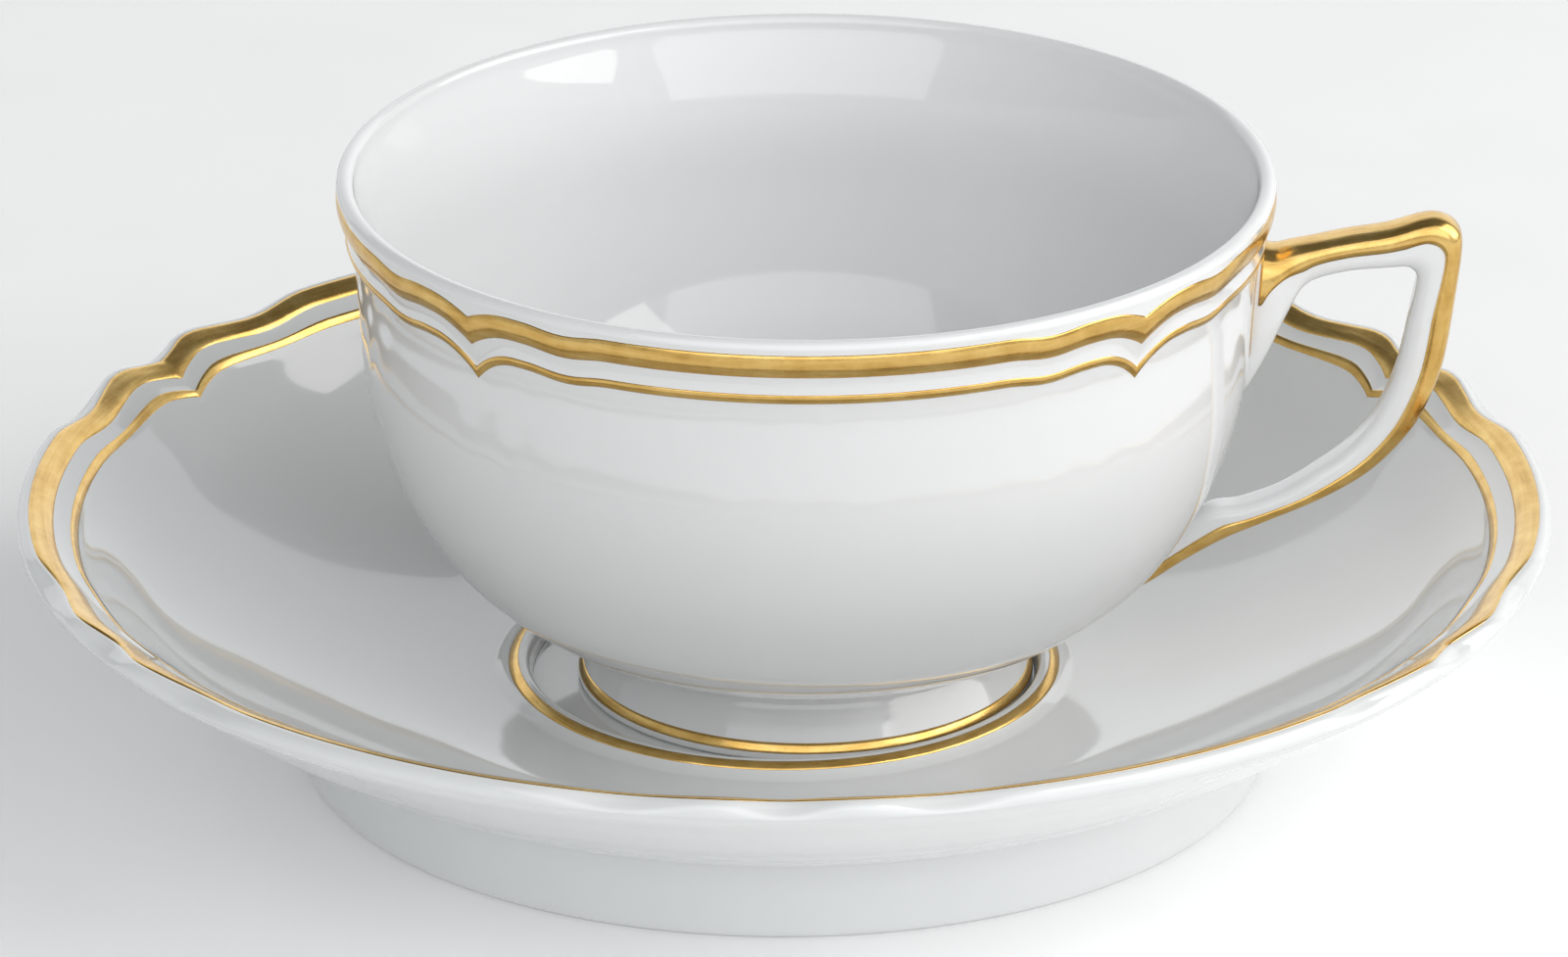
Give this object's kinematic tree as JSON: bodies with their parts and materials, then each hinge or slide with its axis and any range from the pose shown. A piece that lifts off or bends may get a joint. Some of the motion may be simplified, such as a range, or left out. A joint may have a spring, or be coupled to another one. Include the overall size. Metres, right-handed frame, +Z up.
{
  "type": "teacup",
  "caption": "Wide footed porcelain teacup with an angular gilded loop handle, standing in the ringed well of a lobed saucer with matching gold borders.",
  "frame": {"origin": "centre of the saucer's foot ring, at the height of the table", "axes": "+Z up through the saucer's centre; +X towards the cup's handle"},
  "size_m": [0.155, 0.1546, 0.0618],
  "materials": {
    "saucer_glaze": "gloss",
    "saucer_gold": "burnished",
    "cup_glaze": "gloss",
    "cup_gold": "burnished",
    "handle_glaze": "gloss",
    "handle_gold": "burnished"
  },
  "bodies": {
    "saucer": {"saucer_plate": "saucer_glaze", "saucer_foot_ring": "saucer_glaze", "saucer_gold_band": "saucer_gold", "saucer_gold_line": "saucer_gold", "saucer_well_gold_line": "saucer_gold"},
    "cup": {"cup_bowl": "cup_glaze", "cup_foot_ring": "cup_glaze", "cup_handle": "handle_glaze", "cup_gold_band": "cup_gold", "cup_gold_line": "cup_gold", "cup_foot_gold_line": "cup_gold", "handle_gilding": "handle_gold", "handle_root_gold_line": "handle_gold"}
  },
  "joints": [
    {"name": "cup_lift", "type": "slide", "parent": "saucer", "child": "cup", "axis": [0, 0, 1], "range_m": [0, 0.06]}
  ]
}
